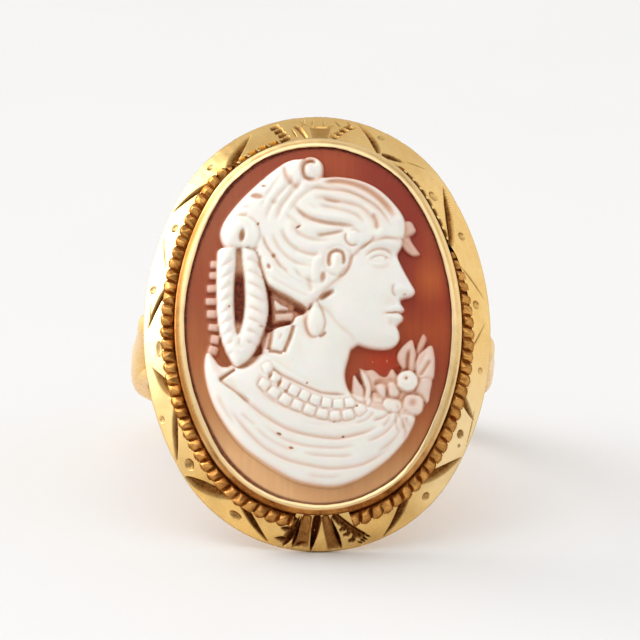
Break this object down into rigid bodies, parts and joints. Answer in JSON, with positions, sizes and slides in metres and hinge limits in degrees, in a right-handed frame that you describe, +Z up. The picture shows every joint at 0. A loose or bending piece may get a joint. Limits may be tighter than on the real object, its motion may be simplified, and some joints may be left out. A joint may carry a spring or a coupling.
{
  "type": "cameo ring",
  "caption": "Gold finger ring with an oval carved shell cameo of a classical bust in an engraved, beaded frame, lying at rest.",
  "frame": {"origin": "bottom centre of the bounding box, with the ring lying as it rests by itself: on the lower edge of its oval frame and the lower rear edge of its shank", "axes": "+Z up from the surface it rests on, -Y towards the viewer of the cameo, +X to that viewer's right; the finger hole's axis leans back from +Z towards +Y by 27.9 degrees"},
  "size_m": [0.0182, 0.0226, 0.0189],
  "materials": {
    "gold": "polished yellow gold with bright cuts, darker in the cuts and between the beads",
    "shell": "carved helmet shell: satin orange-brown ground, glossy white relief"
  },
  "bodies": {
    "root": {"ring_mount": "gold", "cameo": "shell"}
  },
  "joints": []
}
